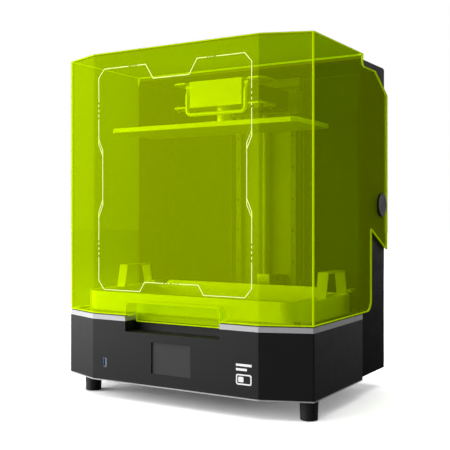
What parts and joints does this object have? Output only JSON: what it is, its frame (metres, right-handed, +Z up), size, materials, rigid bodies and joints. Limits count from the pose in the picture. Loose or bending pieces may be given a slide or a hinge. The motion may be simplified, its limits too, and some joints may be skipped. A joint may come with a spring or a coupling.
{
  "type": "resin printer",
  "caption": "Desktop resin 3D printer with a tinted flip-up cover over a resin vat, a raised build platform and a Z column.",
  "frame": {"origin": "on the table, under the middle of the overall bounding box", "axes": "+Z up; the screen faces -Y; +X is to the right when facing the screen"},
  "size_m": [0.48, 0.3498, 0.5824],
  "materials": {
    "case_black": "satin powder coat, black",
    "band_silver": "satin silver paint",
    "housing_grey": "fine texture powder coat, dark grey",
    "plate_light": "light grey paint",
    "cover_tint": "clear yellow-green acrylic, polished",
    "rubber_black": "matte moulded rubber",
    "steel": "ground steel",
    "screw_steel": "blackened steel",
    "aluminium": "bead-blasted, clear anodised",
    "aluminium_black": "black anodised",
    "screen_glass": "dark gloss display glass",
    "lcd": "dark polarised screen",
    "plastic_black": "moulded black plastic",
    "plastic_white": "white print",
    "film": "clear release film",
    "lens": "moulded clear lens",
    "board_green": "green circuit board",
    "brass": "machined"
  },
  "bodies": {
    "base": {"base_shell": "case_black", "bottom_plate": "plate_light", "trim_band": "band_silver", "cover_seal": "rubber_black", "top_deck": "case_black", "rubber_feet": "rubber_black", "foot_screws": "steel", "touch_glass": "screen_glass", "display_module": "plastic_black", "usb_socket": "steel", "front_badge": "plastic_white", "mask_screen": "lcd", "light_funnel": "plastic_black", "lens_array": "lens", "led_board": "board_green", "heat_sink": "aluminium", "mainboard": "board_green", "power_supply": "aluminium", "rear_housing": "housing_grey", "rear_panel": "housing_grey", "port_plate": "housing_grey", "case_screws": "screw_steel", "fan_frames": "plastic_black", "fan_guards": "steel", "mains_inlet": "plastic_black", "switch_body": "plastic_black", "network_socket": "steel", "column_channel": "aluminium_black", "column_plate": "aluminium", "linear_rails": "steel", "lower_bearing": "aluminium", "upper_bearing": "aluminium", "limit_switch": "plastic_black", "z_motor": "screw_steel", "clamp_posts": "steel", "hinge_pins": "steel", "cover_pads": "rubber_black"},
    "cover": {"cover_shell": "cover_tint", "hinge_caps": "plastic_black"},
    "carriage": {"guide_blocks": "steel", "carriage_plate": "aluminium", "lead_nut": "brass", "carriage_arm": "aluminium"},
    "screw": {"lead_screw": "steel", "motor_coupler": "aluminium", "motor_shaft": "steel"},
    "platform": {"build_plate": "aluminium", "levelling_block": "aluminium", "platform_bracket": "aluminium", "bracket_bolts": "screw_steel"},
    "bail": {"bail_handle": "steel"},
    "vat": {"vat_tray": "aluminium", "vat_film": "film", "film_frame": "aluminium", "vat_handles": "aluminium"},
    "clamp_left": {"clamp_lever_left": "aluminium"},
    "clamp_right": {"clamp_lever_right": "aluminium"},
    "rocker": {"power_rocker": "plastic_black"},
    "fan_left": {"fan_rotor_left": "plastic_black"},
    "fan_right": {"fan_rotor_right": "plastic_black"}
  },
  "joints": [
    {"name": "cover_hinge", "type": "hinge", "parent": "base", "child": "cover", "pos_m": [0, 0.1415, 0.327], "axis": [-1, 0, 0], "range_deg": [0, 80]},
    {"name": "z_slide", "type": "slide", "parent": "base", "child": "carriage", "axis": [0, 0, 1], "range_m": [-0.316, 0.004]},
    {"name": "screw_spin", "type": "hinge", "parent": "base", "child": "screw", "pos_m": [0, 0.1475, 0.3], "axis": [0, 0, 1], "continuous": true},
    {"name": "platform_release", "type": "slide", "parent": "carriage", "child": "platform", "axis": [0, -1, 0], "range_m": [0, 0.03]},
    {"name": "bail_hinge", "type": "hinge", "parent": "platform", "child": "bail", "pos_m": [0, -0.0305, 0.536], "axis": [-1, 0, 0], "range_deg": [0, 90]},
    {"name": "vat_lift", "type": "slide", "parent": "base", "child": "vat", "axis": [0, 0, 1], "range_m": [0, 0.06]},
    {"name": "clamp_left_pivot", "type": "hinge", "parent": "base", "child": "clamp_left", "pos_m": [-0.206, 0.0655, 0.178], "axis": [0, 0, 1], "range_deg": [-135, 0]},
    {"name": "clamp_right_pivot", "type": "hinge", "parent": "base", "child": "clamp_right", "pos_m": [0.206, 0.0655, 0.178], "axis": [0, 0, -1], "range_deg": [-135, 0]},
    {"name": "power_rocker_tilt", "type": "hinge", "parent": "base", "child": "rocker", "pos_m": [0.078, 0.1675, 0.08], "axis": [1, 0, 0], "range_deg": [0, 12]},
    {"name": "fan_left_spin", "type": "hinge", "parent": "base", "child": "fan_left", "pos_m": [-0.15, 0.1585, 0.086], "axis": [0, 1, 0], "continuous": true},
    {"name": "fan_right_spin", "type": "hinge", "parent": "base", "child": "fan_right", "pos_m": [0.15, 0.1585, 0.086], "axis": [0, 1, 0], "continuous": true}
  ],
  "couplings": [
    {"joint": "screw_spin", "follows": "z_slide", "rad_per_m": 785.4}
  ]
}
